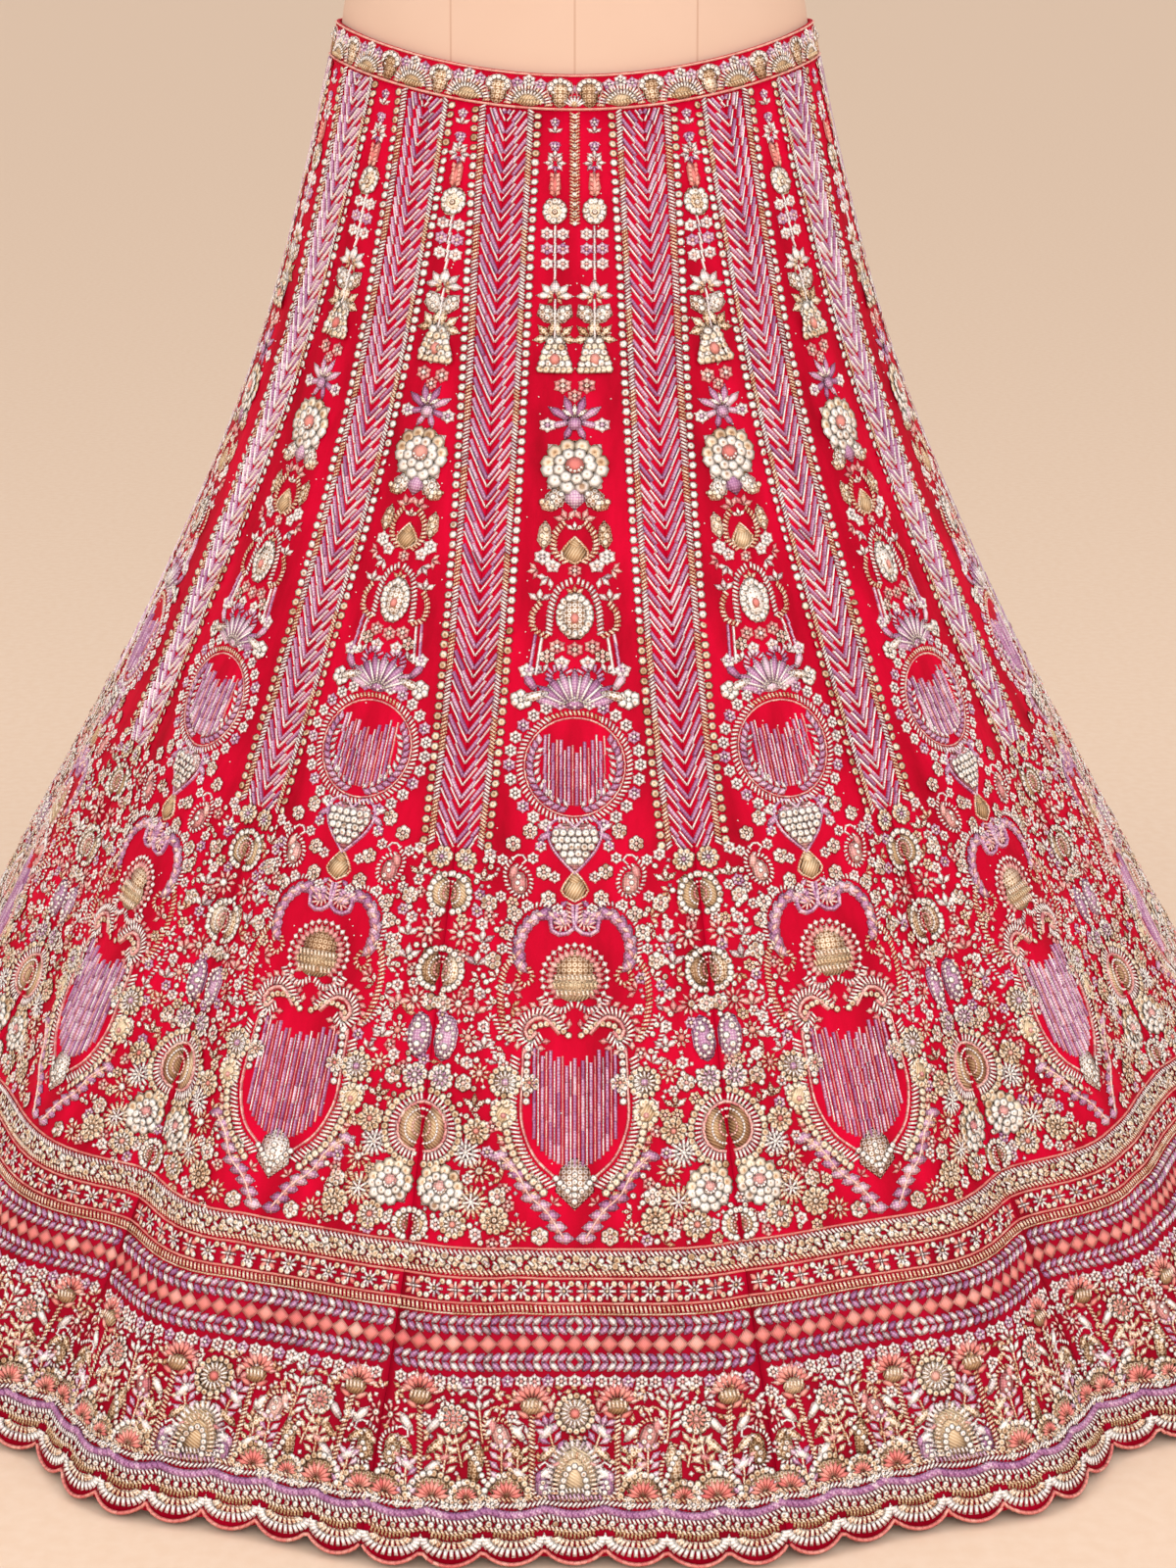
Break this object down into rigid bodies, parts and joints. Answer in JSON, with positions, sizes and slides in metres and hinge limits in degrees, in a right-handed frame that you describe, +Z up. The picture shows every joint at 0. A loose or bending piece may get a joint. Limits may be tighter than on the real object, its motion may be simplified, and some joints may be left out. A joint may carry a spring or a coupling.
{
  "type": "lehenga skirt on dress form",
  "caption": "Flared bridal lehenga skirt of embroidered kalis with a waistband and scalloped hem, filled out on a limbless dress form with a pole and round base.",
  "frame": {"origin": "on the floor, under the middle of the skirt", "axes": "+Z up, -Y out of the front of the skirt, +X to the right as seen from the front"},
  "size_m": [1.247, 1.2261, 1.4723],
  "materials": {
    "crimson_silk": "matte silk with dense bead and sequin embroidery",
    "waistband_silk": "silk band covered with beadwork",
    "linen": "fine woven linen",
    "walnut": "satin varnish",
    "painted_steel": "satin black paint"
  },
  "bodies": {
    "root": {"kali_front": "crimson_silk", "kali_right_1": "crimson_silk", "kali_right_2": "crimson_silk", "kali_right_3": "crimson_silk", "kali_right_4": "crimson_silk", "kali_right_5": "crimson_silk", "kali_right_6": "crimson_silk", "kali_back": "crimson_silk", "kali_left_6": "crimson_silk", "kali_left_5": "crimson_silk", "kali_left_4": "crimson_silk", "kali_left_3": "crimson_silk", "kali_left_2": "crimson_silk", "kali_left_1": "crimson_silk", "waistband_front": "waistband_silk", "waistband_back": "waistband_silk", "form_torso": "linen", "form_neck_cap": "walnut", "form_pole": "painted_steel", "form_base": "painted_steel"}
  },
  "joints": []
}
